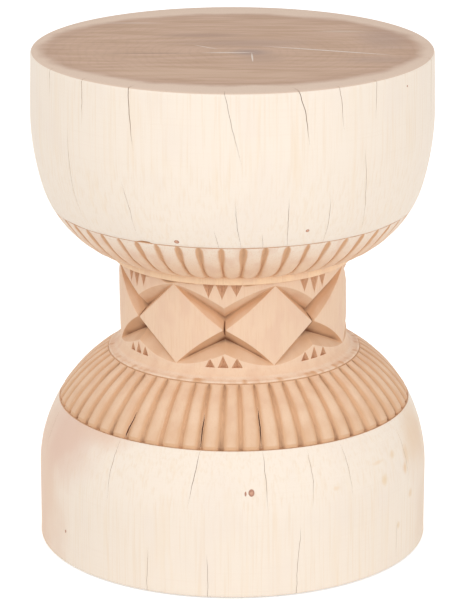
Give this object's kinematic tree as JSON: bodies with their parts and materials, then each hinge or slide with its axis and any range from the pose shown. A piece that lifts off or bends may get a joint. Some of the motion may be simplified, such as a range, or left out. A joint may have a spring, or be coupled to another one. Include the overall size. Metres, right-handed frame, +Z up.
{
  "type": "drum table",
  "caption": "Round drum-shaped side table or stool carved from one log: flat end-grain top, fluted bands and a waist carved with diamonds",
  "frame": {"origin": "on the floor under the middle of the base, at the underside of the felt pads", "axes": "+Z up along the log's axis; the front faces -Y; +X is to the right seen from the front"},
  "size_m": [0.3969, 0.397, 0.5],
  "materials": {
    "log_wood": "fine sanded, thin matte wax",
    "check_filler": "sawdust filler sanded flush",
    "felt": "pressed wool felt"
  },
  "bodies": {
    "root": {"carved_log": "log_wood", "heart_check_filler": "check_filler", "felt_pad_1": "felt", "felt_pad_2": "felt", "felt_pad_3": "felt", "felt_pad_4": "felt"}
  },
  "joints": []
}
